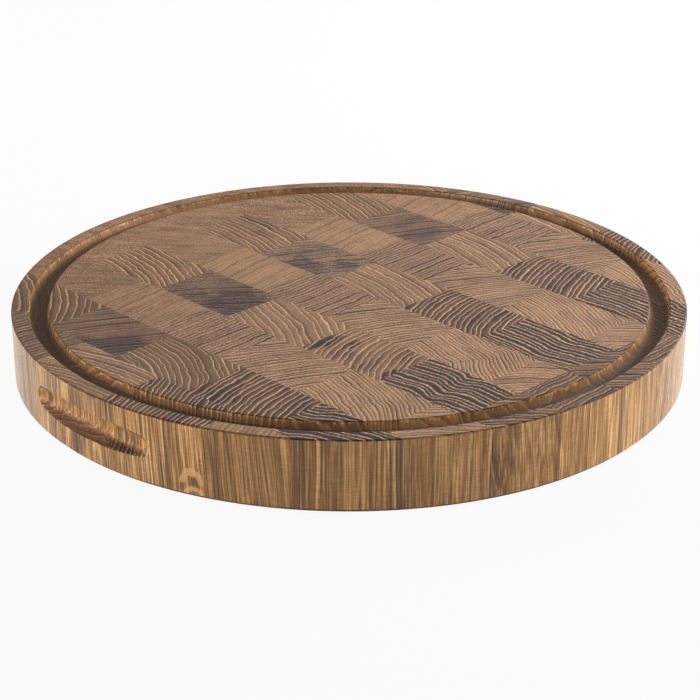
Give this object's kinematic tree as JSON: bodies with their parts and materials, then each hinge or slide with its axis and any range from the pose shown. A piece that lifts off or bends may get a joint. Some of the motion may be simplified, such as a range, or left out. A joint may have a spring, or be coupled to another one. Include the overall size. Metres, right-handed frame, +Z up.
{
  "type": "serving board",
  "caption": "Round end-grain hardwood serving board glued from rectangular blocks, with a juice groove inside the rim and a finger grip in each side.",
  "frame": {"origin": "centre of the flat underside", "axes": "+Z up through the thickness, +X along the glued strips, the finger grips face -Y and +Y"},
  "size_m": [0.4, 0.4, 0.042],
  "materials": {
    "wood_brown": "oiled, satin",
    "wood_dark": "oiled, satin",
    "wood_light": "oiled, satin",
    "wood_lined": "oiled, satin",
    "wood_striped": "oiled, satin",
    "wood_tan": "oiled, satin"
  },
  "bodies": {
    "root": {"strip_01_stave_2": "wood_lined", "strip_01_stave_3": "wood_dark", "strip_01_stave_4": "wood_brown", "strip_01_stave_5": "wood_striped", "strip_02_stave_2": "wood_tan", "strip_02_stave_3": "wood_tan", "strip_02_stave_4": "wood_brown", "strip_02_stave_5": "wood_brown", "strip_02_stave_6": "wood_light", "strip_03_stave_1": "wood_tan", "strip_03_stave_2": "wood_lined", "strip_03_stave_3": "wood_dark", "strip_03_stave_4": "wood_brown", "strip_03_stave_5": "wood_striped", "strip_03_stave_6": "wood_striped", "strip_04_stave_1": "wood_tan", "strip_04_stave_2": "wood_tan", "strip_04_stave_3": "wood_tan", "strip_04_stave_4": "wood_brown", "strip_04_stave_5": "wood_brown", "strip_04_stave_6": "wood_light", "strip_04_stave_7": "wood_light", "strip_04_stave_8": "wood_lined", "strip_05_stave_1": "wood_tan", "strip_05_stave_2": "wood_lined", "strip_05_stave_3": "wood_dark", "strip_05_stave_4": "wood_brown", "strip_05_stave_5": "wood_striped", "strip_05_stave_6": "wood_striped", "strip_05_stave_7": "wood_dark", "strip_06_stave_1": "wood_tan", "strip_06_stave_2": "wood_tan", "strip_06_stave_3": "wood_tan", "strip_06_stave_4": "wood_brown", "strip_06_stave_5": "wood_brown", "strip_06_stave_6": "wood_light", "strip_06_stave_7": "wood_light", "strip_06_stave_8": "wood_lined", "strip_07_stave_1": "wood_tan", "strip_07_stave_2": "wood_lined", "strip_07_stave_3": "wood_dark", "strip_07_stave_4": "wood_brown", "strip_07_stave_5": "wood_striped", "strip_07_stave_6": "wood_striped", "strip_07_stave_7": "wood_dark", "strip_08_stave_2": "wood_tan", "strip_08_stave_3": "wood_tan", "strip_08_stave_4": "wood_brown", "strip_08_stave_5": "wood_brown", "strip_08_stave_6": "wood_light", "strip_08_stave_7": "wood_light", "strip_09_stave_2": "wood_lined", "strip_09_stave_3": "wood_dark", "strip_09_stave_4": "wood_brown", "strip_09_stave_5": "wood_striped", "strip_09_stave_6": "wood_striped", "strip_10_stave_2": "wood_lined", "strip_10_stave_3": "wood_brown", "strip_10_stave_4": "wood_striped", "strip_10_stave_5": "wood_light"}
  },
  "joints": []
}
